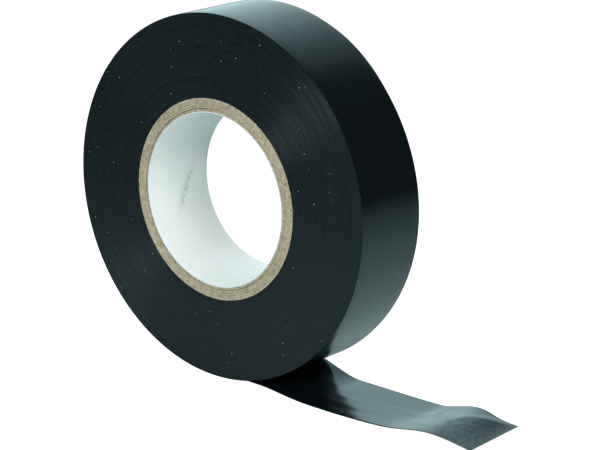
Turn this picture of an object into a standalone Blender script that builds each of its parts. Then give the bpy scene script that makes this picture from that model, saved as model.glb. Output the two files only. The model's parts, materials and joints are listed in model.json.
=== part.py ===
"""A roll of PVC electrical tape on a board core, standing on its tread with a short tail unwound.

The origin is the roll's centre. +Y runs along the bore, so the front face looks along -Y, +Z is up,
and the tail lies on the ground towards +X. All sizes are in metres.

The tape is one strip of black PVC film with a coat of adhesive on its inner side. It is held here as
the wound turns, the last turn, and the tail in three stretches that bend where they meet. The core is
a white paper liner inside five plies of grey board.
"""

import math

import bmesh
import bpy
from mathutils import Vector

# Tape
TAPE_WIDTH = 0.019
FILM_THICKNESS = 0.00012
ADHESIVE_THICKNESS = 0.00002
ROLL_RADIUS = 0.040

# Core
BORE_RADIUS = 0.019
LINER_THICKNESS = 0.00015
PLY_THICKNESS = 0.00052
PLY_COUNT = 5

# Clearances
COAT_GAP = 0.00003  # between the film and its adhesive
GLUE_GAP = 0.00005  # between two plies of the core
CORE_GAP = 0.0001  # between the core and the first turn
TURN_GAP = 0.00006  # between the wound turns and the last turn, which travels round them
LEAD_GAP = 0.00012  # between the last turn and the tail that leaves it
BEND_GAP = 0.0003  # between two stretches of the tail

# Round pieces are turned in this many flats, with a flat at the bottom for the roll to stand on.
FLATS = 72
FLAT_ANGLE = 2 * math.pi / FLATS

# The tail: its front edge is the one at -Y, and its back edge the one at +Y.
FRONT_PEEL_ANGLE = math.radians(14)  # past the bottom of the roll
BACK_PEEL_ANGLE = math.radians(21)
LEAD_LENGTH = 0.0125  # from where the back edge peels off to where the tail lands
FLAT_LENGTH = 0.012  # from there to where the tip bends up
NECKING = 0.001  # how much narrower the pull has left the tail than the tape on the roll
NECK_LENGTH = 0.005  # from where an edge peels off to where the tail is that narrow
FRONT_TIP_LENGTH = 0.028
BACK_TIP_LENGTH = 0.027
FRONT_CREST = (0.020, 0.0029)  # along the tip, and above the ground
BACK_CREST = (0.018, 0.0020)
BACK_TIP_FLAT = 0.011  # the back edge stays down for this much of the tip
FRONT_END_HEIGHT = 0.0023
BACK_END_HEIGHT = 0.0002
BACK_END_SLOPE = -0.2

# Worked out from the sizes above
GROUND = -ROLL_RADIUS * math.cos(FLAT_ANGLE / 2)
LINER_RADIUS = BORE_RADIUS + LINER_THICKNESS
CORE_RADIUS = LINER_RADIUS + PLY_COUNT * (GLUE_GAP + PLY_THICKNESS)
FILM_INNER_RADIUS = ROLL_RADIUS - FILM_THICKNESS
ADHESIVE_OUTER_RADIUS = FILM_INNER_RADIUS - COAT_GAP
ADHESIVE_INNER_RADIUS = ADHESIVE_OUTER_RADIUS - ADHESIVE_THICKNESS
WOUND_RADIUS = ADHESIVE_INNER_RADIUS - TURN_GAP
ADHESIVE_LIFT = FILM_THICKNESS + COAT_GAP
TAPE_THICKNESS = ADHESIVE_LIFT + ADHESIVE_THICKNESS
PEEL_RADIUS = ROLL_RADIUS + LEAD_GAP + TAPE_THICKNESS  # of the tail's underside where it leaves the roll
LANDING_REACH = PEEL_RADIUS * math.sin(BACK_PEEL_ANGLE) + LEAD_LENGTH
TIP_REACH = LANDING_REACH + FLAT_LENGTH

# Linear colour and roughness of each finish
GLOSS_FILM = ((0.008, 0.010, 0.011), 0.22)
WOUND_EDGE = ((0.014, 0.020, 0.021), 0.45)
ADHESIVE = ((0.010, 0.012, 0.013), 0.18)
WHITE_PAPER = ((0.78, 0.80, 0.77), 0.80)
GREY_BOARD = ((0.36, 0.31, 0.23), 0.90)


def clear_scene():
    for obj in list(bpy.data.objects):
        bpy.data.objects.remove(obj, do_unlink=True)


def new_collection(name):
    collection = bpy.data.collections.new(name)
    bpy.context.scene.collection.children.link(collection)
    return collection


def pivot(name, location, collection, parent=None):
    """An empty on a joint's axis, which the pieces that turn about it hang from."""
    empty = bpy.data.objects.new(name, None)
    empty.empty_display_size = 0.01
    collection.objects.link(empty)
    empty.parent = parent
    empty.location = Vector(location) - (parent.location if parent else Vector())
    return empty


def finish_of(name, colour, roughness):
    material = bpy.data.materials.new(name)
    material.use_nodes = True
    shader = material.node_tree.nodes["Principled BSDF"]
    shader.inputs["Base Color"].default_value = (*colour, 1)
    shader.inputs["Roughness"].default_value = roughness
    shader.inputs["Metallic"].default_value = 0
    material.diffuse_color = (*colour, 1)
    return material


def add_piece(name, mesh, finish, parent, collection):
    piece = bpy.data.objects.new(name, mesh)
    mesh.materials.append(finish_of(name + "_finish", *finish))
    collection.objects.link(piece)
    piece.parent = parent
    return piece


def turned_ring(name, inner, outer, finish, parent, collection):
    """A ring as wide as the tape, turned about the bore's axis."""
    half = TAPE_WIDTH / 2
    mesh = bpy.data.meshes.new(name)
    profile = bmesh.new()
    corners = [(outer, half), (outer, -half), (inner, -half), (inner, half)]
    verts = [profile.verts.new((x, 0, z)) for x, z in corners]
    for first, second in zip(verts, verts[1:] + verts[:1]):
        profile.edges.new((first, second))
    profile.to_mesh(mesh)
    profile.free()
    ring = add_piece(name, mesh, finish, parent, collection)
    ring.rotation_euler = (math.pi / 2, FLAT_ANGLE / 2, 0)
    screw = ring.modifiers.new("Turn", "SCREW")
    screw.axis = "Z"
    screw.angle = 2 * math.pi
    screw.steps = FLATS
    screw.render_steps = FLATS
    screw.use_merge_vertices = True
    screw.merge_threshold = 0.000001
    return ring


def eased(position, start, end):
    """The height at a position between two knots (position, height, slope), as a cubic."""
    span = end[0] - start[0]
    share = (position - start[0]) / span
    left, right = 1 - share, share
    return (
        start[1] * left * left * (1 + 2 * right)
        + end[1] * right * right * (1 + 2 * left)
        + span * left * right * (start[2] * left - end[2] * right)
    )


def height_on(knots, position):
    for start, end in zip(knots, knots[1:]):
        if position <= end[0]:
            break
    return eased(position, start, end)


def peel_point(angle):
    """Where an edge's underside leaves the last turn: how far along X, and how high above the ground."""
    return PEEL_RADIUS * math.sin(angle), -PEEL_RADIUS * math.cos(angle) - GROUND


def front_knots():
    peel_x, peel_height = peel_point(FRONT_PEEL_ANGLE)
    return [
        (peel_x, peel_height, 0),
        (LANDING_REACH, 0, 0),
        (TIP_REACH, 0, 0),
        (TIP_REACH + FRONT_CREST[0], FRONT_CREST[1], 0),
        (TIP_REACH + FRONT_TIP_LENGTH, FRONT_END_HEIGHT, 0),
    ]


def back_knots():
    peel_x, peel_height = peel_point(BACK_PEEL_ANGLE)
    return [
        (peel_x, peel_height, 0),
        (LANDING_REACH, 0, 0),
        (TIP_REACH + BACK_TIP_FLAT, 0, 0),
        (TIP_REACH + BACK_CREST[0], BACK_CREST[1], 0),
        (TIP_REACH + BACK_TIP_LENGTH, BACK_END_HEIGHT, BACK_END_SLOPE),
    ]


def half_width(position, peel_x):
    """The tape is as wide as the roll where it peels off, and necks in just after that."""
    share = min(1, (position - peel_x) / NECK_LENGTH)
    return (TAPE_WIDTH - NECKING * share) / 2


def tail_layer(name, spans, divisions, lift, thickness, finish, parent, collection):
    """One layer of a stretch of the tail. Spans are where its front and back edges start and end along X."""
    knots = (front_knots(), back_knots())
    base = parent.matrix_world.translation
    mesh = bpy.data.meshes.new(name)
    sheet = bmesh.new()
    bmesh.ops.create_grid(sheet, x_segments=divisions[0], y_segments=divisions[1], size=1)
    for vert in sheet.verts:
        along, across = (vert.co.x + 1) / 2, (vert.co.y + 1) / 2
        edges = []
        for side, (edge, (start, end)) in zip((-1, 1), zip(knots, spans)):
            x = start + (end - start) * along
            width = half_width(x, edge[0][0])
            edges.append(Vector((x, side * width, GROUND + lift + height_on(edge, x))))
        vert.co = edges[0].lerp(edges[1], across) - base
    sheet.to_mesh(mesh)
    sheet.free()
    layer = add_piece(name, mesh, finish, parent, collection)
    solidify = layer.modifiers.new("Thickness", "SOLIDIFY")
    solidify.thickness = thickness
    solidify.offset = 1
    return layer


def tape_stretch(name, spans, divisions, parent, collection):
    """A stretch of the tail: its film on the ground, and its adhesive, which faced the roll, on top."""
    tail_layer(name + "_film", spans, divisions, 0, FILM_THICKNESS, GLOSS_FILM, parent, collection)
    tail_layer(
        name + "_adhesive", spans, divisions, ADHESIVE_LIFT, ADHESIVE_THICKNESS, ADHESIVE, parent, collection
    )


def build_core(parent, collection):
    turned_ring("core_liner", BORE_RADIUS, LINER_RADIUS, WHITE_PAPER, parent, collection)
    for number in range(PLY_COUNT):
        inner = LINER_RADIUS + GLUE_GAP + number * (PLY_THICKNESS + GLUE_GAP)
        turned_ring(f"core_ply_{number + 1}", inner, inner + PLY_THICKNESS, GREY_BOARD, parent, collection)


def build_wound_tape(parent, collection):
    turned_ring("wound_tape", CORE_RADIUS + CORE_GAP, WOUND_RADIUS, WOUND_EDGE, parent, collection)


def build_last_turn(parent, collection):
    turned_ring("outer_turn_film", FILM_INNER_RADIUS, ROLL_RADIUS, GLOSS_FILM, parent, collection)
    turned_ring(
        "outer_turn_adhesive", ADHESIVE_INNER_RADIUS, ADHESIVE_OUTER_RADIUS, ADHESIVE, parent, collection
    )


def build_tail(peel, landing, tip_bend, collection):
    front_peel, back_peel = peel_point(FRONT_PEEL_ANGLE)[0], peel_point(BACK_PEEL_ANGLE)[0]
    lead_end = LANDING_REACH - BEND_GAP / 2
    flat_start, flat_end = LANDING_REACH + BEND_GAP / 2, TIP_REACH - BEND_GAP / 2
    tip_start = TIP_REACH + BEND_GAP / 2
    lead = ((front_peel, lead_end), (back_peel, lead_end))
    flat = ((flat_start, flat_end), (flat_start, flat_end))
    tip = ((tip_start, TIP_REACH + FRONT_TIP_LENGTH), (tip_start, TIP_REACH + BACK_TIP_LENGTH))
    tape_stretch("tail_lead", lead, (12, 4), peel, collection)
    tape_stretch("tail_run", flat, (4, 4), landing, collection)
    tape_stretch("tail_tip", tip, (16, 6), tip_bend, collection)


def build_roll():
    clear_scene()
    parts = new_collection("electrical_tape_roll")
    roll = pivot("roll_axis", (0, 0, 0), parts)
    peel = pivot("unwind_axis", (0, 0, 0), parts)
    landing = pivot("tail_lift_axis", (LANDING_REACH, 0, GROUND + TAPE_THICKNESS / 2), parts)
    tip_bend = pivot("tip_lift_axis", (TIP_REACH, 0, GROUND + TAPE_THICKNESS / 2), parts, landing)
    bpy.context.view_layer.update()
    build_core(roll, parts)
    build_wound_tape(roll, parts)
    build_last_turn(peel, parts)
    build_tail(peel, landing, tip_bend, parts)


build_roll()
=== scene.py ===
"""A roll of black PVC electrical tape on a paper core, with a short tail unwound on the table.

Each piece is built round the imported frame, in metres and in the frame's own axes: +Y runs along the
bore, +Z is up, and the tail lies towards +X. The strip of tape is one piece from its start, round the
roll and off along the table to the bend of its tip, and the tip is a second piece that joins it flush.
"""
import json
import math
import random

import bmesh
import bpy
from mathutils import Matrix, Vector, noise


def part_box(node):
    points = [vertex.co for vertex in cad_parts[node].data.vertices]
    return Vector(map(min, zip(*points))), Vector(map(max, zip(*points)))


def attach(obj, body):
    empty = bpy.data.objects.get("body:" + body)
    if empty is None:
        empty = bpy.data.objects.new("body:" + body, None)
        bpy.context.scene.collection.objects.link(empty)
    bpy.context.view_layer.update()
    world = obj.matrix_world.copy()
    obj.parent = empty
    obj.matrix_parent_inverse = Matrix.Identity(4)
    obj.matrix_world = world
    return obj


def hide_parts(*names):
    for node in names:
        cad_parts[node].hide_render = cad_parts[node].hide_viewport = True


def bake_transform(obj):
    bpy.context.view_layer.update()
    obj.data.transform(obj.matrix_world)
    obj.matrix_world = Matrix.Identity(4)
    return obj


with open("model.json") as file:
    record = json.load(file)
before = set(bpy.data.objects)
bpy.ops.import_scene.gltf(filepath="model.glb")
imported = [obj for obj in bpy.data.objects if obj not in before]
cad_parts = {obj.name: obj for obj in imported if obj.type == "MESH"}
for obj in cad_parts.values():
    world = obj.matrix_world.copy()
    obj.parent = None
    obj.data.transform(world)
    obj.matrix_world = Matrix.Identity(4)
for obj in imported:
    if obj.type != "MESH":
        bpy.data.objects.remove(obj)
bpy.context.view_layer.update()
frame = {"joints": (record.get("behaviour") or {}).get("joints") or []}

# ------------------------------------------------------------------------------ sizes from the frame
film_low, film_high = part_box("outer_turn_film")
ROLL_RADIUS = film_high.x
HALF_WIDTH = film_high.y
GROUND = film_low.z
CORE_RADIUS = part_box("core_ply_5")[1].x
HINGES = {joint["name"]: Vector(joint["pos_m"]) for joint in frame["joints"]}
LANDING_REACH = HINGES["tail_lift"].x
TIP_REACH = HINGES["tip_lift"].x

# ---------------------------------------------------------------------------------- the tape's shape
TAPE_THICKNESS = 0.00015
TAPE_WIDTH = 2 * HALF_WIDTH
EDGE_ROUND = 0.00004
FRONT_PEEL_ANGLE = math.radians(14)  # past the bottom of the roll
BACK_PEEL_ANGLE = math.radians(21)
SETTLE_LENGTH = 0.0018  # over which the tape bends back as it leaves the roll
NECKING = 0.001  # how much narrower the pull has left the tail than the tape on the roll
NECK_LENGTH = 0.005
# Along each edge of the tip: the reach past its bend, the height over the table, and the slope there.
FRONT_TIP = [(0, 0.0003, 0.05), (0.006, 0.0007, 0.09), (0.0187, 0.0027, 0), (0.0274, 0.0018, -0.13)]
BACK_TIP = [
    (0.0085, 0.0001, 0.02), (0.0184, 0.0021, 0), (0.0235, 0.00105, -0.17), (0.0275, 0.0007, -0.02),
]
SEAM_REACH = (LANDING_REACH + TIP_REACH) / 2  # where the strip ends and the tip begins
INNER_RADIUS = ROLL_RADIUS - TAPE_THICKNESS  # of the last turn, and so of the turns under it
START_SHARE = 0.08  # of its thickness that the tape shows where its last turn starts
FULL_SHARE = 0.92  # of that turn, after which the tape is as thick as it gets
CROWN = 0.00005  # how far the tread falls off towards its edges
CROWN_WIDTH = 0.0022
CROWN_RATE = 8  # the tread is fully crowned after an eighth of the last turn

# ------------------------------------------------------------------------------------- mesh finenesses
TURN_STEPS = 192
RING_COLUMNS = 360
TAIL_COLUMNS = 60
TIP_COLUMNS = 80
ACROSS = 40
MICRON = 0.000001


# =============================================================================================
# Camera and studio
# =============================================================================================
CAMERA_AZIMUTH = math.radians(41.185)
CAMERA_ELEVATION = math.radians(15.351)
CAMERA_DISTANCE = 0.3202
CAMERA_LENS = 88.25
CAMERA_TURN = math.radians(-2.267)  # to the right, about its own upright, so that the tail is in view
CAMERA_TILT = math.radians(-1.297)
CAMERA_CLIPS = (0.01, 20)

# How bright the walls are at each bearing, in degrees from +Y towards +X.
WALL_LEVELS = (
    (-180, 0.28), (-150, 0.24), (-118, 0.26), (-100, 0.95), (-90, 1.15), (-55, 1.35), (-38, 1.30),
    (-27, 1.00), (-16, 0.66), (-4, 0.43), (4, 0.31), (12, 0.09), (20, 0.035), (60, 0.025), (95, 0.06),
    (140, 0.18), (180, 0.30),
)
WALL_TINT = (0.74, 1.0, 1.03)
CEILING_START = 0.55  # how steeply up a direction points, as a sine, where the walls start to dim
CEILING_LEVEL = 0.55  # what is left of their light straight up

# Each softbox: its name, bearing, elevation, distance, width and height, and power.
SOFTBOXES = (
    ("front_softbox", 158, 33, 0.9, (0.20, 0.20), 4.9),
    ("right_softbox", 118, 49, 0.9, (0.22, 0.22), 1.6),
    ("table_softbox", 106, 4, 0.9, (0.45, 0.10), 2.5),
    ("top_softbox", -60, 68, 0.8, (0.5, 0.5), 2.6),
)
LAMP_TINT = (1.0, 1.0, 1.02)

FLOOR_COLOUR = (0.60, 0.74, 0.73)  # the paper's colour, light's teal tint included, at the middle of the pool of light painted into it
# where the pool of light painted into the floor's colour is brightest
FLOOR_PAINTED_LIGHT_SPOT = (0.05, 0.015, GROUND)
FLOOR_FADE = 0.23  # the distance over which that painted light falls to a third
FLOOR_HALF_SIZE = 3
FLOOR_DROP = 10 * MICRON  # below the roll, so that the two never share a surface


def make_camera():
    """The camera, set by where it stands round the roll and then turned a little off its middle."""
    sin, cos = math.sin, math.cos
    back = Vector(
        (
            sin(CAMERA_AZIMUTH) * cos(CAMERA_ELEVATION),
            -cos(CAMERA_AZIMUTH) * cos(CAMERA_ELEVATION),
            sin(CAMERA_ELEVATION),
        )
    )
    right = Vector((cos(CAMERA_AZIMUTH), sin(CAMERA_AZIMUTH), 0))
    up = back.cross(right)
    place = back * CAMERA_DISTANCE
    turn = Matrix.Rotation(CAMERA_TURN, 3, up)
    back, right = turn @ back, turn @ right
    tilt = Matrix.Rotation(CAMERA_TILT, 3, right)
    back, up = tilt @ back, tilt @ up
    camera = bpy.data.objects.new("camera", bpy.data.cameras.new("camera"))
    bpy.context.scene.collection.objects.link(camera)
    camera.data.lens = CAMERA_LENS
    camera.data.clip_start, camera.data.clip_end = CAMERA_CLIPS
    axes = Matrix((right, up, back)).transposed().to_4x4()
    camera.matrix_world = Matrix.Translation(place) @ axes
    bpy.context.scene.camera = camera


def linear(hex_colour):
    """An sRGB hex colour, such as #20282A, as linear RGBA."""
    channels = [int(hex_colour[i : i + 2], 16) / 255 for i in (1, 3, 5)]
    return (*(c / 12.92 if c <= 0.04045 else ((c + 0.055) / 1.055) ** 2.4 for c in channels), 1.0)


def add(tree, kind, settings=None, links=None):
    """A node with its settings, and what its inputs hold or take: a value, or another node's output."""
    node = tree.nodes.new(kind)
    for name, value in (settings or {}).items():
        setattr(node, name, value)
    for name, value in (links or {}).items():
        if isinstance(value, bpy.types.NodeSocket):
            tree.links.new(value, node.inputs[name])
        else:
            node.inputs[name].default_value = value
    return node


def set_ramp(node, stops):
    """Stops are (position, grey or linear colour)."""
    ramp = node.color_ramp
    while len(ramp.elements) > 1:
        ramp.elements.remove(ramp.elements[-1])
    for index, (position, colour) in enumerate(stops):
        element = ramp.elements[0] if index == 0 else ramp.elements.new(position)
        element.position = position
        element.color = colour if hasattr(colour, "__len__") else (colour, colour, colour, 1)


def studio_walls():
    """Walls that light the roll, bright on the left and dark on the right, which the eye sees as white."""
    world = bpy.data.worlds.new("studio")
    bpy.context.scene.world = world
    world.use_nodes = True
    tree = world.node_tree
    tree.nodes.clear()
    way = add(tree, "ShaderNodeTexCoord").outputs["Generated"]
    parts = add(tree, "ShaderNodeSeparateXYZ", links={0: way})
    bearing = add(
        tree, "ShaderNodeMath", {"operation": "ARCTAN2"}, {0: parts.outputs["X"], 1: parts.outputs["Y"]}
    )
    share = add(
        tree,
        "ShaderNodeMapRange",
        links={"Value": bearing.outputs[0], "From Min": -math.pi, "From Max": math.pi},
    )
    walls = add(tree, "ShaderNodeValToRGB", links={"Fac": share.outputs[0]})
    set_ramp(walls, [((angle + 180) / 360, level) for angle, level in WALL_LEVELS])
    ceiling = add(
        tree,
        "ShaderNodeMapRange",
        {"interpolation_type": "SMOOTHSTEP"},
        {
            "Value": parts.outputs["Z"],
            "From Min": CEILING_START,
            "From Max": 1.0,
            "To Min": 1.0,
            "To Max": CEILING_LEVEL,
        },
    )
    lit = add(
        tree,
        "ShaderNodeVectorMath",
        {"operation": "SCALE"},
        {0: walls.outputs["Color"], "Scale": ceiling.outputs[0]},
    )
    tinted = add(tree, "ShaderNodeVectorMath", {"operation": "MULTIPLY"}, {0: lit.outputs[0], 1: WALL_TINT})
    light = add(tree, "ShaderNodeBackground", links={"Color": tinted.outputs[0]})
    plain = add(tree, "ShaderNodeBackground", links={"Color": (1, 1, 1, 1)})
    seen = add(tree, "ShaderNodeLightPath").outputs["Is Camera Ray"]
    mixed = add(tree, "ShaderNodeMixShader", links={0: seen, 1: light.outputs[0], 2: plain.outputs[0]})
    add(tree, "ShaderNodeOutputWorld", links={"Surface": mixed.outputs[0]})


def softbox(name, bearing, elevation, distance, size, power):
    """An area light that looks at the roll. Its bearing is from +Y towards +X, in degrees."""
    light = bpy.data.lights.new(name, "AREA")
    light.shape = "RECTANGLE"
    light.size, light.size_y = size
    light.energy = power
    light.color = LAMP_TINT
    lamp = bpy.data.objects.new(name, light)
    bpy.context.scene.collection.objects.link(lamp)
    round_it, up = math.radians(bearing), math.radians(elevation)
    away = Vector(
        (math.sin(round_it) * math.cos(up), math.cos(round_it) * math.cos(up), math.sin(up))
    )
    lamp.location = away * distance
    lamp.rotation_euler = away.to_track_quat("Z", "Y").to_euler()


def make_floor():
    """A sheet of matt white paper, with a pool of light painted into its colour that fades away from a spot
    beside the roll. It glows for the eye alone, so that it looks evenly white.
    """
    bm = bmesh.new()
    bmesh.ops.create_grid(bm, x_segments=1, y_segments=1, size=FLOOR_HALF_SIZE)
    bmesh.ops.translate(bm, verts=bm.verts, vec=(0, 0, GROUND - FLOOR_DROP))
    mesh = bpy.data.meshes.new("floor")
    bm.to_mesh(mesh)
    bm.free()
    floor = bpy.data.objects.new("floor", mesh)
    bpy.context.scene.collection.objects.link(floor)
    material = bpy.data.materials.new("matt_white_paper_sweep_painted_light_pool")
    material.use_nodes = True
    tree = material.node_tree
    shader = tree.nodes["Principled BSDF"]
    shader.inputs["Roughness"].default_value = 0.9
    shader.inputs["Specular IOR Level"].default_value = 0.0
    # The paper's colour is painted light: it fades with the distance from a spot beside the roll, as a pool
    # of light would, and the roll reflects it.
    place = add(tree, "ShaderNodeTexCoord").outputs["Object"]
    away = add(tree, "ShaderNodeVectorMath", {"operation": "DISTANCE"}, {0: place, 1: FLOOR_PAINTED_LIGHT_SPOT})
    share = add(
        tree, "ShaderNodeMath", {"operation": "MULTIPLY"}, {0: away.outputs["Value"], 1: -1 / FLOOR_FADE}
    )
    painted_light_fade = add(tree, "ShaderNodeMath", {"operation": "EXPONENT"}, {0: share.outputs[0]})
    paper = add(
        tree, "ShaderNodeVectorMath", {"operation": "SCALE"}, {0: FLOOR_COLOUR, "Scale": painted_light_fade.outputs[0]}
    )
    tree.links.new(paper.outputs[0], shader.inputs["Base Color"])
    seen = add(tree, "ShaderNodeLightPath").outputs["Is Camera Ray"]
    shader.inputs["Emission Color"].default_value = (1, 1, 1, 1)
    tree.links.new(seen, shader.inputs["Emission Strength"])
    mesh.materials.append(material)


# =============================================================================================
# Materials
# =============================================================================================
FILM_BLACK = "#0B1013"
ADHESIVE_BLACK = "#0B1012"


def new_material(name, base, roughness, ior=1.5, specular_tint=None):
    """A material with these values, its node tree, and its shader."""
    material = bpy.data.materials.new(name)
    material.use_nodes = True
    shader = material.node_tree.nodes["Principled BSDF"]
    shader.inputs["Base Color"].default_value = base
    shader.inputs["Roughness"].default_value = roughness
    shader.inputs["IOR"].default_value = ior
    if specular_tint:
        shader.inputs["Specular Tint"].default_value = specular_tint
    return material, material.node_tree, shader


def placed(tree, scale=(1, 1, 1)):
    """Object coordinates in metres, times a scale for each axis."""
    coordinates = add(tree, "ShaderNodeTexCoord").outputs["Object"]
    return add(tree, "ShaderNodeMapping", links={"Vector": coordinates, "Scale": scale}).outputs[0]


def per_mm(size):
    """The scale that gives a pattern on coordinates in metres a repeat of this many millimetres."""
    return 1000 / size


def dust(tree, share, cell_mm, radius_mm):
    """Up to 1 on specks of dust: a share of the cells holds one speck each, more of them in some places."""
    place = placed(tree)
    drift = add(tree, "ShaderNodeTexNoise", links={"Vector": place, "Scale": per_mm(16), "Detail": 1.0})
    shares = add(
        tree,
        "ShaderNodeMapRange",
        links={
            "Value": drift.outputs["Fac"],
            "From Min": 0.42,
            "From Max": 0.66,
            "To Min": share / 4,
            "To Max": share * 2,
        },
    )
    cells = add(
        tree,
        "ShaderNodeTexVoronoi",
        links={"Vector": place, "Scale": per_mm(cell_mm), "Randomness": 1.0},
    )
    chosen = add(tree, "ShaderNodeSeparateColor", links={"Color": cells.outputs["Color"]})
    picked = add(
        tree, "ShaderNodeMath", {"operation": "LESS_THAN"}, {0: chosen.outputs["Red"], 1: shares.outputs[0]}
    )
    near = add(
        tree,
        "ShaderNodeMapRange",
        links={
            "Value": cells.outputs["Distance"],
            "From Min": radius_mm / cell_mm * 0.5,
            "From Max": radius_mm / cell_mm,
            "To Min": 1.0,
            "To Max": 0.0,
        },
    )
    there = add(
        tree, "ShaderNodeMath", {"operation": "MULTIPLY"}, {0: picked.outputs[0], 1: near.outputs[0]}
    )
    return add(
        tree, "ShaderNodeMath", {"operation": "MULTIPLY"}, {0: there.outputs[0], 1: chosen.outputs["Green"]}
    ).outputs[0]


def colour_mix(tree, share, first, second):
    """The first colour where the share is 0, and the second where it is 1."""
    return add(
        tree, "ShaderNodeMix", {"data_type": "RGBA"}, {"Factor": share, "A": first, "B": second}
    ).outputs["Result"]


def pvc_film():
    """Plasticised PVC film, calendered: a gloss black skin with a faint orange peel and a little dust."""
    material, tree, shader = new_material(
        "calendered_black_pvc_film", linear(FILM_BLACK), 0.16, 1.52, (0.66, 1.0, 1.04, 1)
    )
    peel = add(
        tree, "ShaderNodeTexNoise", links={"Vector": placed(tree), "Scale": per_mm(6), "Detail": 2.0}
    )
    fine = add(
        tree, "ShaderNodeTexNoise", links={"Vector": placed(tree), "Scale": per_mm(0.9), "Detail": 1.0}
    )
    waves = add(
        tree, "ShaderNodeBump", links={"Strength": 0.10, "Distance": 0.0004, "Height": peel.outputs["Fac"]}
    )
    skin = add(
        tree,
        "ShaderNodeBump",
        links={
            "Strength": 0.05,
            "Distance": 0.00008,
            "Height": fine.outputs["Fac"],
            "Normal": waves.outputs[0],
        },
    )
    tree.links.new(skin.outputs[0], shader.inputs["Normal"])
    rough = add(
        tree, "ShaderNodeMapRange", links={"Value": peel.outputs["Fac"], "To Min": 0.13, "To Max": 0.21}
    )
    tree.links.new(rough.outputs[0], shader.inputs["Roughness"])
    specks = dust(tree, 0.12, 2.4, 0.15)
    tree.links.new(
        colour_mix(tree, specks, linear(FILM_BLACK), linear("#9AA6A6")), shader.inputs["Base Color"]
    )
    return material


PINCH_REACH = 0.0145  # past the tip's bend, where the adhesive starts to be dulled
PINCH_FADE = 0.005  # over which it gets as dull as it is
PINCH_SLANT = 0.78  # how fast the dulled part widens towards the back edge, as the crease does
CREASE_POINT = (0.003, 0.0006)  # on the crease: past where the dulled part starts, and along +Y
CREASE_BLUR = 0.0014


def tape_adhesive():
    """Rubber-resin adhesive, coated along the strip: black under a wet gloss, drawn out in long streaks,
    and dulled in fine spots in front of the tip's crease, where fingers have pinched it."""
    material, tree, shader = new_material(
        "coated_rubber_adhesive", linear(ADHESIVE_BLACK), 0.22, 1.55, (0.72, 1.0, 1.04, 1)
    )
    streaks = add(
        tree,
        "ShaderNodeTexNoise",
        links={"Vector": placed(tree, (per_mm(26), per_mm(3.2), per_mm(26))), "Scale": 1.0, "Detail": 3.0},
    )
    spots = add(
        tree, "ShaderNodeTexNoise", links={"Vector": placed(tree), "Scale": per_mm(0.8), "Detail": 3.0}
    )
    parts = add(tree, "ShaderNodeSeparateXYZ", links={0: placed(tree)}).outputs
    start = TIP_REACH + PINCH_REACH
    along = add(
        tree,
        "ShaderNodeMapRange",
        {"interpolation_type": "SMOOTHSTEP"},
        {"Value": parts["X"], "From Min": start, "From Max": start + PINCH_FADE},
    )
    slanted = add(
        tree,
        "ShaderNodeMath",
        {"operation": "MULTIPLY_ADD"},
        {0: parts["X"], 1: -PINCH_SLANT, 2: parts["Y"]},
    )
    crease = CREASE_POINT[1] - PINCH_SLANT * (start + CREASE_POINT[0])
    front = add(
        tree,
        "ShaderNodeMapRange",
        {"interpolation_type": "SMOOTHSTEP"},
        {
            "Value": slanted.outputs[0],
            "From Min": crease - CREASE_BLUR,
            "From Max": crease,
            "To Min": 1.0,
            "To Max": 0.0,
        },
    )
    pinched = add(
        tree, "ShaderNodeMath", {"operation": "MULTIPLY"}, {0: along.outputs[0], 1: front.outputs[0]}
    ).outputs[0]
    glossy = add(
        tree,
        "ShaderNodeMapRange",
        links={
            "Value": streaks.outputs["Fac"],
            "From Min": 0.3,
            "From Max": 0.7,
            "To Min": 0.10,
            "To Max": 0.22,
        },
    )
    dull = add(
        tree,
        "ShaderNodeMapRange",
        links={
            "Value": spots.outputs["Fac"],
            "From Min": 0.35,
            "From Max": 0.6,
            "To Min": 0.30,
            "To Max": 0.52,
        },
    )
    rough = add(
        tree,
        "ShaderNodeMix",
        {"data_type": "FLOAT"},
        {0: pinched, 2: glossy.outputs[0], 3: dull.outputs[0]},
    )
    tree.links.new(rough.outputs[0], shader.inputs["Roughness"])
    drawn = add(
        tree,
        "ShaderNodeBump",
        links={"Strength": 0.12, "Distance": 0.0003, "Height": streaks.outputs["Fac"]},
    )
    dented = add(
        tree,
        "ShaderNodeBump",
        links={
            "Strength": pinched,
            "Distance": 0.00012,
            "Height": spots.outputs["Fac"],
            "Normal": drawn.outputs[0],
        },
    )
    tree.links.new(dented.outputs[0], shader.inputs["Normal"])
    shader.inputs["Specular IOR Level"].default_value = 0.9
    return material


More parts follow.
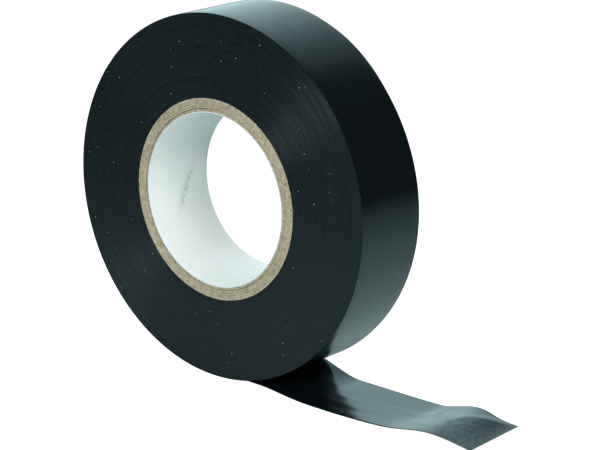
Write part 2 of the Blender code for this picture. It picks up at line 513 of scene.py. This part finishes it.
def slit_tape_edges():
    """The slit edges of a hundred turns: satin black, combed in circles, so that light lies across it
    in two opposite sectors and shows as fine arcs, with specks of dust and paper."""
    material, tree, shader = new_material(
        "slit_pvc_tape_edges", linear("#080C0D"), 0.42, 1.5, (0.74, 1.0, 1.05, 1)
    )
    place = add(tree, "ShaderNodeTexCoord").outputs["Object"]
    radial = add(tree, "ShaderNodeVectorMath", {"operation": "MULTIPLY"}, {0: place, 1: (1, 0, 1)})
    radius = add(tree, "ShaderNodeVectorMath", {"operation": "LENGTH"}, {0: radial.outputs[0]})
    outward = add(tree, "ShaderNodeVectorMath", {"operation": "NORMALIZE"}, {0: radial.outputs[0]})
    around = add(
        tree, "ShaderNodeVectorMath", {"operation": "SCALE"}, {0: outward.outputs[0], "Scale": 2.2}
    )
    in_turns = add(
        tree, "ShaderNodeMath", {"operation": "MULTIPLY"}, {0: radius.outputs["Value"], 1: per_mm(0.55)}
    )
    up_radius = add(tree, "ShaderNodeCombineXYZ", links={"Y": in_turns.outputs[0]})
    combed = add(
        tree, "ShaderNodeVectorMath", {"operation": "ADD"}, {0: around.outputs[0], 1: up_radius.outputs[0]}
    )
    arcs = add(
        tree,
        "ShaderNodeTexNoise",
        links={"Vector": combed.outputs[0], "Scale": 1.0, "Detail": 4.0, "Roughness": 0.62},
    )
    mottle = add(
        tree, "ShaderNodeTexNoise", links={"Vector": place, "Scale": per_mm(0.8), "Detail": 2.0}
    )
    tree.links.new(outward.outputs[0], shader.inputs["Tangent"])
    shader.inputs["Anisotropic"].default_value = 0.85
    shader.inputs["Specular IOR Level"].default_value = 0.42
    rough = add(
        tree,
        "ShaderNodeMapRange",
        links={
            "Value": arcs.outputs["Fac"],
            "From Min": 0.3,
            "From Max": 0.7,
            "To Min": 0.32,
            "To Max": 0.48,
        },
    )
    tree.links.new(rough.outputs[0], shader.inputs["Roughness"])
    both = add(
        tree,
        "ShaderNodeMath",
        {"operation": "MULTIPLY"},
        {0: arcs.outputs["Fac"], 1: mottle.outputs["Fac"]},
    )
    tone = add(
        tree,
        "ShaderNodeMapRange",
        links={"Value": both.outputs[0], "From Min": 0.15, "From Max": 0.40},
    )
    base = colour_mix(tree, tone.outputs[0], linear("#05080A"), linear("#11181B"))
    specks = dust(tree, 0.13, 1.3, 0.15)
    tree.links.new(colour_mix(tree, specks, base, linear("#B9C2BE")), shader.inputs["Base Color"])
    combing = add(
        tree, "ShaderNodeBump", links={"Strength": 0.9, "Distance": 0.00008, "Height": arcs.outputs["Fac"]}
    )
    tree.links.new(combing.outputs[0], shader.inputs["Normal"])
    return material


def core_board():
    """Recycled grey chipboard, cut across its plies: tan and matt, with light fibres and dark flecks."""
    material, tree, shader = new_material("recycled_core_board", linear("#A89F82"), 0.85)
    fibres = add(
        tree,
        "ShaderNodeTexNoise",
        links={"Vector": placed(tree), "Scale": per_mm(0.7), "Detail": 4.0, "Roughness": 0.7},
    )
    tone = add(tree, "ShaderNodeValToRGB", links={"Fac": fibres.outputs["Fac"]})
    set_ramp(
        tone,
        [
            (0.28, linear("#7C715A")),
            (0.42, linear("#A59A80")),
            (0.55, linear("#B5AA90")),
            (0.74, linear("#CDC3AA")),
        ],
    )
    flecks = dust(tree, 0.10, 0.9, 0.12)
    tree.links.new(
        colour_mix(tree, flecks, tone.outputs["Color"], linear("#6E6450")), shader.inputs["Base Color"]
    )
    rough_cut = add(
        tree,
        "ShaderNodeBump",
        links={"Strength": 0.6, "Distance": 0.00012, "Height": fibres.outputs["Fac"]},
    )
    tree.links.new(rough_cut.outputs[0], shader.inputs["Normal"])
    shader.inputs["Specular IOR Level"].default_value = 0.25
    return material


SCUFF_HEIGHT = -0.0033  # the middle of the scuff, over the bore's axis
SCUFF_DEPTH = 0.0017  # and from the roll's middle towards its back
SCUFF_LEAN = math.radians(-32)
SCUFF_LENGTH = 0.012
SCUFF_WIDTH = 0.0018


def liner_paper():
    """Bleached kraft liner, machine glazed: white with a soft sheen and a faint cloud, and a grey-green
    rub mark on its left side, in broken flecks."""
    material, tree, shader = new_material("bleached_liner_paper", linear("#EAF1EC"), 0.5)
    cloud = add(
        tree, "ShaderNodeTexNoise", links={"Vector": placed(tree), "Scale": per_mm(5), "Detail": 4.0}
    )
    white = colour_mix(tree, cloud.outputs["Fac"], linear("#E6EBE6"), linear("#F0F3F1"))
    flecks = add(
        tree, "ShaderNodeTexNoise", links={"Vector": placed(tree), "Scale": per_mm(0.8), "Detail": 3.0}
    )
    lean = Matrix.Rotation(SCUFF_LEAN, 3, "X").to_euler()
    centred = add(
        tree,
        "ShaderNodeMapping",
        {"vector_type": "TEXTURE"},
        {
            "Vector": placed(tree),
            "Location": (0, SCUFF_DEPTH, SCUFF_HEIGHT),
            "Rotation": lean,
            "Scale": (1, SCUFF_WIDTH, SCUFF_LENGTH),
        },
    )
    flat = add(
        tree, "ShaderNodeVectorMath", {"operation": "MULTIPLY"}, {0: centred.outputs[0], 1: (0, 1, 1)}
    )
    away = add(tree, "ShaderNodeVectorMath", {"operation": "LENGTH"}, {0: flat.outputs[0]})
    left = add(tree, "ShaderNodeSeparateXYZ", links={0: placed(tree)}).outputs["X"]
    on_left = add(tree, "ShaderNodeMath", {"operation": "LESS_THAN"}, {0: left, 1: 0.0})
    middle = add(
        tree,
        "ShaderNodeMapRange",
        {"interpolation_type": "SMOOTHSTEP"},
        {"Value": away.outputs["Value"], "From Min": 0.1, "From Max": 0.8, "To Min": 0.6, "To Max": 0.0},
    )
    broken = add(
        tree,
        "ShaderNodeMapRange",
        links={
            "Value": flecks.outputs["Fac"],
            "From Min": 0.50,
            "From Max": 0.62,
            "To Min": 0.22,
            "To Max": 1.0,
        },
    )
    rubbed = add(
        tree, "ShaderNodeMath", {"operation": "MULTIPLY"}, {0: middle.outputs[0], 1: broken.outputs[0]}
    )
    scuffed = add(
        tree, "ShaderNodeMath", {"operation": "MULTIPLY"}, {0: rubbed.outputs[0], 1: on_left.outputs[0]}
    )
    tree.links.new(
        colour_mix(tree, scuffed.outputs[0], white, linear("#8FA084")), shader.inputs["Base Color"]
    )
    grain = add(
        tree, "ShaderNodeTexNoise", links={"Vector": placed(tree), "Scale": per_mm(0.35), "Detail": 2.0}
    )
    tooth = add(
        tree,
        "ShaderNodeBump",
        links={"Strength": 0.15, "Distance": 0.00003, "Height": grain.outputs["Fac"]},
    )
    tree.links.new(tooth.outputs[0], shader.inputs["Normal"])
    return material


# =============================================================================================
# Shapes
# =============================================================================================
def finished(name, bm, materials, smooth_angle=30):
    """The bmesh as an object at the origin, shaded smooth up to an angle."""
    mesh = bpy.data.meshes.new(name)
    bm.to_mesh(mesh)
    bm.free()
    for material in materials:
        mesh.materials.append(material)
    mesh.shade_smooth()
    mesh.set_sharp_from_angle(angle=math.radians(smooth_angle))
    piece = bpy.data.objects.new(name, mesh)
    bpy.context.scene.collection.objects.link(piece)
    return piece


def turned(outline, steps=TURN_STEPS):
    """A closed outline of (radius, y) points, turned about the bore's axis."""
    bm = bmesh.new()
    verts = [bm.verts.new((radius, y, 0)) for radius, y in outline]
    edges = [bm.edges.new(pair) for pair in zip(verts, verts[1:] + verts[:1])]
    bmesh.ops.spin(
        bm,
        geom=verts + edges,
        cent=(0, 0, 0),
        axis=(0, 1, 0),
        angle=2 * math.pi,
        steps=steps,
        use_merge=True,
    )
    bmesh.ops.remove_doubles(bm, verts=bm.verts, dist=MICRON / 2)
    bmesh.ops.recalc_face_normals(bm, faces=bm.faces)
    return bm


# ----------------------------------------------------------------------------------------- the core
LINER_THICKNESS = 0.00015
PLIES = 5
PLY_GAP = 0.00002
PLY_ROUND = 0.00006
LOOSE_PLY_GAP = 0.00012  # between the innermost ply and the next, which shows as a line on the end
LOOSE_PLY_INSET = 0.00012  # how far the innermost ply stands back from the others' ends


def make_core(board, paper):
    """The liner's tube, and the plies round it, each with its corners rounded."""
    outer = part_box("core_liner")[1].x
    inner = outer - LINER_THICKNESS
    half = HALF_WIDTH
    liner = turned([(inner, -half), (inner, half), (outer, half), (outer, -half)])
    piece = finished("liner_paper_tube", liner, [paper])
    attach(piece, "roll")
    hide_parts("core_liner")
    for number in range(1, PLIES + 1):
        inner = outer + (LOOSE_PLY_GAP if number == 2 else PLY_GAP)
        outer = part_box(f"core_ply_{number}")[1].x
        half = HALF_WIDTH - (LOOSE_PLY_INSET if number == 1 else 0)
        ring = turned(
            [
                (inner, -half + PLY_ROUND), (inner, half - PLY_ROUND), (inner + PLY_ROUND, half),
                (outer - PLY_ROUND, half), (outer, half - PLY_ROUND), (outer, -half + PLY_ROUND),
                (outer - PLY_ROUND, -half), (inner + PLY_ROUND, -half),
            ]
        )
        piece = finished(f"board_ply_{number}", ring, [board])
        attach(piece, "roll")
        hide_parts(f"core_ply_{number}")


# --------------------------------------------------------------------------------- the wound turns
TURN_PITCH = 0.00017
EDGE_WANDER = 0.00005  # how far groups of turns stand in from the widest
EDGE_JITTER = 0.000018
WANDER_RATE = 0.11  # repeats of that wander for each turn
CORE_CLEARANCE = 0.00006  # between the board and the first turn
TURNS_CLEARANCE = 5 * MICRON  # between the wound turns and the last one
SWAY = 14 * MICRON  # how far each edge sways inwards along its turn
SWAY_AROUND = 45  # repeats of the sway in a metre round the roll
SWAY_OUTWARD = 900  # and in a metre out from the bore


def turn_insets(rng, turns):
    """How far each turn's edge lies inside the roll's width: a slow wander, and a little on each turn."""
    phase = rng.uniform(0, 10)
    return [
        EDGE_WANDER * (0.5 + 0.5 * noise.noise((phase + turn * WANDER_RATE, 0, 0)))
        + EDGE_JITTER * rng.random()
        for turn in range(turns)
    ]


def make_wound_turns(edges_material):
    """The roll under its last turn: one solid, with each turn's edge a little in or out on both faces."""
    rng = random.Random(7)
    start = CORE_RADIUS + CORE_CLEARANCE
    end = INNER_RADIUS - TURNS_CLEARANCE
    turns = round((end - start) / TURN_PITCH)
    pitch = (end - start) / turns
    outline = []
    for side in (-1, 1):
        face = []
        for turn, inset in enumerate(turn_insets(rng, turns)):
            y = side * (HALF_WIDTH - inset)
            face += [(start + turn * pitch, y), (start + (turn + 1) * pitch, y)]
        outline += face if side < 0 else face[::-1]
    bm = turned(outline)
    for vert in bm.verts:
        radius = math.hypot(vert.co.x, vert.co.z)
        sway = noise.noise((vert.co.x * SWAY_AROUND, radius * SWAY_OUTWARD, vert.co.z * SWAY_AROUND))
        vert.co.y -= math.copysign(SWAY * (0.5 + 0.5 * sway), vert.co.y)
    piece = finished("wound_turns", bm, [edges_material])
    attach(piece, "roll")
    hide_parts("wound_tape")


# -------------------------------------------------------------------------------------- the strip
def eased(position, start, end):
    """The height at a position between two knots (position, height, slope), as a cubic."""
    span = end[0] - start[0]
    share = (position - start[0]) / span
    left, right = 1 - share, share
    return (
        start[1] * left * left * (1 + 2 * right)
        + end[1] * right * right * (1 + 2 * left)
        + span * left * right * (start[2] * left - end[2] * right)
    )


def height_on(knots, position):
    """The height at a position on a curve through all the knots."""
    for start, end in zip(knots, knots[1:]):
        if position <= end[0]:
            break
    return eased(position, start, end)


def leaving_knots(angle):
    """The tape leaves the roll along its surface, bends back, and falls to the table."""
    peel = (ROLL_RADIUS * math.sin(angle), -ROLL_RADIUS * math.cos(angle) - GROUND, 0)
    landing = (LANDING_REACH, 0, 0)
    settled = peel[0] + SETTLE_LENGTH
    step = SETTLE_LENGTH / 100
    height = eased(settled, peel, landing)
    slope = (eased(settled + step, peel, landing) - height) / step
    return [(peel[0], peel[1], math.tan(angle)), (settled, height, slope), landing]


def past_the_bend(knots):
    """Knots given from the tip's bend, as knots from the roll's middle."""
    return [(TIP_REACH + along, height, slope) for along, height, slope in knots]


FRONT_KNOTS = leaving_knots(FRONT_PEEL_ANGLE) + past_the_bend(FRONT_TIP)
BACK_KNOTS = leaving_knots(BACK_PEEL_ANGLE) + past_the_bend(BACK_TIP)


def across_tail(share, across, spans):
    """A point on the tail's underside. Share runs along it, across from 0 at its front edge to 1."""
    edges = []
    for side, knots, (start, end) in zip((-1, 1), (FRONT_KNOTS, BACK_KNOTS), spans):
        x = start + (end - start) * share
        necked = min(1, (x - knots[0][0]) / NECK_LENGTH)
        half = HALF_WIDTH - NECKING * necked / 2
        edges.append(Vector((x, side * half, GROUND + height_on(knots, x))))
    return edges[0].lerp(edges[1], across)


def smooth_step(value, low, high):
    """From 0 at low to 1 at high, level at both."""
    share = min(1, max(0, (value - low) / (high - low)))
    return share * share * (3 - 2 * share)


RIPPLE = 0.00014  # how far the lying tail lifts off the table in long shallow ripples
RIPPLE_START = 0.020
RIPPLE_RISE = 0.01
# Two waves: repeats in a metre along the tail, repeats across it, and a place in the noise.
LONG_WAVE = (38, 3.1, 4.7)
SHORT_WAVE = (70, 7, 9.1)


def ripple(x, across):
    """The tail's ripples: long along it and short across it, and none where it leaves the roll."""
    long_wave, short_wave = (
        noise.noise((x * along_rate, across * across_rate, place))
        for along_rate, across_rate, place in (LONG_WAVE, SHORT_WAVE)
    )
    wave = long_wave + 0.5 * short_wave
    return RIPPLE * (0.5 + 0.5 * wave) * smooth_step(x, RIPPLE_START, RIPPLE_START + RIPPLE_RISE)


# Round the last turn from its start: the angle, how far its back edge stands out, and the slope there.
# It is loose where the tail is lifted off it and over the top, and tight where the roll rests.
FLARE = [
    (math.radians(angle), height, 0)
    for angle, height in (
        (0, 0), (9, 0.0007), (30, 0.0005), (50, 0.0005), (103, 0.0001),
        (130, 0.0006), (158, 0.0008), (230, 0.0001), (360, 0),
    )
]


def strip_depth(column):
    """The last turn swells from almost nothing to the tape's thickness, so that the roll shows no ledge."""
    share = column / RING_COLUMNS
    return TAPE_THICKNESS * min(1, START_SHARE + (1 - START_SHARE) * share / FULL_SHARE)


def strip_point(column, across):
    """A point on the strip's outer side: column runs from its start, round the roll, to the seam."""
    peel = FRONT_PEEL_ANGLE + (BACK_PEEL_ANGLE - FRONT_PEEL_ANGLE) * across
    if column <= RING_COLUMNS:
        share = column / RING_COLUMNS
        angle = peel - 2 * math.pi * (1 - share)
        radius = INNER_RADIUS + strip_depth(column)
        rim = abs(2 * across - 1) * HALF_WIDTH
        fall = smooth_step(rim, HALF_WIDTH - CROWN_WIDTH, HALF_WIDTH)
        radius -= CROWN * fall * min(1, share * CROWN_RATE)
        radius += height_on(FLARE, 2 * math.pi * share) * across
        y = (2 * across - 1) * HALF_WIDTH
        return Vector((radius * math.sin(angle), y, -radius * math.cos(angle)))
    share = (column - RING_COLUMNS) / TAIL_COLUMNS
    spans = ((FRONT_KNOTS[0][0], SEAM_REACH), (BACK_KNOTS[0][0], SEAM_REACH))
    point = across_tail(share, across, spans)
    point.z += ripple(point.x, across)
    return point


RIDGE_START = 0.0155  # along the tip, where the crease starts to stand up
RIDGE_TOP = 0.0222  # where it is highest
RIDGE_HEIGHT = 0.0009
RIDGE_ACROSS = 0.50  # of the width, from the front edge, where it starts
RIDGE_CURVE = 1.4  # how late it turns towards the back corner
RIDGE_ROUND = 0.004  # how round its crest is
RIDGE_LEVEL = 0.0634  # which gives the crest back the height that the rounding takes


def ridge(along, across):
    """The crease in the tip: a ridge that rises, runs out to the back corner and dies there."""
    end = BACK_TIP[-1][0]
    rise = smooth_step(along, RIDGE_START, RIDGE_TOP)
    fall = 1 - smooth_step(along, RIDGE_TOP, end)
    way = min(1, max(0, (along - RIDGE_START) / (end - RIDGE_START)))
    crest = RIDGE_ACROSS + (1 - RIDGE_ACROSS) * way**RIDGE_CURVE
    side = across / crest if across < crest else (1 - across) / max(1 - crest, 0.001)
    tent = 1 - math.sqrt((1 - side) ** 2 + RIDGE_ROUND) + RIDGE_LEVEL * side
    return RIDGE_HEIGHT * rise * fall * max(0, tent)


def tip_point(column, across):
    """A point on the tip's underside: column runs from the seam to the cut end."""
    share = column / TIP_COLUMNS
    spans = (
        (SEAM_REACH, TIP_REACH + FRONT_TIP[-1][0]),
        (SEAM_REACH, TIP_REACH + BACK_TIP[-1][0]),
    )
    point = across_tail(share, across, spans)
    point.z += ripple(point.x, across) + ridge(point.x - TIP_REACH, across)
    return point


def depth_way(surface, column, across, last):
    """Towards the tape's adhesive side, square to its surface."""
    step = 0.02  # of a column, and of the width
    low, high = max(0, column - step), min(last, column + step)
    left, right = max(0, across - step), min(1, across + step)
    along = surface(high, across) - surface(low, across)
    over = surface(column, right) - surface(column, left)
    return along.cross(over).normalized()


def laid_tape(columns, surface, depth_at):
    """A flat slab of tape with its edges rounded, then laid along a surface."""
    cell = TAPE_WIDTH / ACROSS
    bm = bmesh.new()
    bmesh.ops.create_grid(bm, x_segments=columns, y_segments=ACROSS, size=0.5)
    bmesh.ops.translate(bm, verts=bm.verts, vec=(0.5, 0.5, 0))
    bmesh.ops.scale(bm, verts=bm.verts, vec=(columns * cell, TAPE_WIDTH, 1))
    lower = list(bm.faces)
    made = bmesh.ops.extrude_face_region(bm, geom=lower, use_keep_orig=True)
    upper = [item for item in made["geom"] if isinstance(item, bmesh.types.BMVert)]
    bmesh.ops.translate(bm, verts=upper, vec=(0, 0, TAPE_THICKNESS))
    bmesh.ops.recalc_face_normals(bm, faces=bm.faces)
    rims = [
        edge
        for edge in bm.edges
        if edge.verts[0].co.y == edge.verts[1].co.y
        and edge.verts[0].co.z == edge.verts[1].co.z
        and len({round(face.normal.z) for face in edge.link_faces}) == 2
    ]
    bmesh.ops.bevel(
        bm,
        geom=rims,
        offset=EDGE_ROUND,
        offset_type="OFFSET",
        affect="EDGES",
        segments=2,
        profile=0.5,
        material=-1,
    )
    for face in bm.faces:
        face.material_index = 2 if abs(face.normal.z) < 0.5 else 1 if face.normal.z > 0 else 0
    for vert in bm.verts:
        column = vert.co.x / cell
        across = vert.co.y / TAPE_WIDTH
        way = depth_way(surface, column, across, columns)
        vert.co = surface(column, across) + way * depth_at(column) * (vert.co.z / TAPE_THICKNESS)
    bmesh.ops.recalc_face_normals(bm, faces=bm.faces)
    return bm


TAPE_SMOOTH_ANGLE = 40


def make_tape(film, adhesive, edges):
    """The strip, which bends over its landing, and the tip that joins it flush."""
    finishes = [film, adhesive, edges]
    strip = laid_tape(
        RING_COLUMNS + TAIL_COLUMNS,
        strip_point,
        lambda column: strip_depth(column) if column < RING_COLUMNS else TAPE_THICKNESS,
    )
    piece = finished("tape_strip", strip, finishes, TAPE_SMOOTH_ANGLE)
    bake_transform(piece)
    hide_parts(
        "outer_turn_film", "outer_turn_adhesive", "tail_lead_film", "tail_lead_adhesive",
        "tail_run_film", "tail_run_adhesive",
    )

    tip = laid_tape(TIP_COLUMNS, tip_point, lambda column: TAPE_THICKNESS)
    piece = finished("tape_tip", tip, finishes, TAPE_SMOOTH_ANGLE)
    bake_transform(piece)
    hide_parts("tail_tip_film", "tail_tip_adhesive")


def build():
    make_camera()
    bpy.context.scene.view_settings.view_transform = "Standard"
    studio_walls()
    for settings in SOFTBOXES:
        softbox(*settings)
    make_floor()
    film, adhesive, edges = pvc_film(), tape_adhesive(), slit_tape_edges()
    make_core(core_board(), liner_paper())
    make_wound_turns(edges)
    make_tape(film, adhesive, edges)


build()
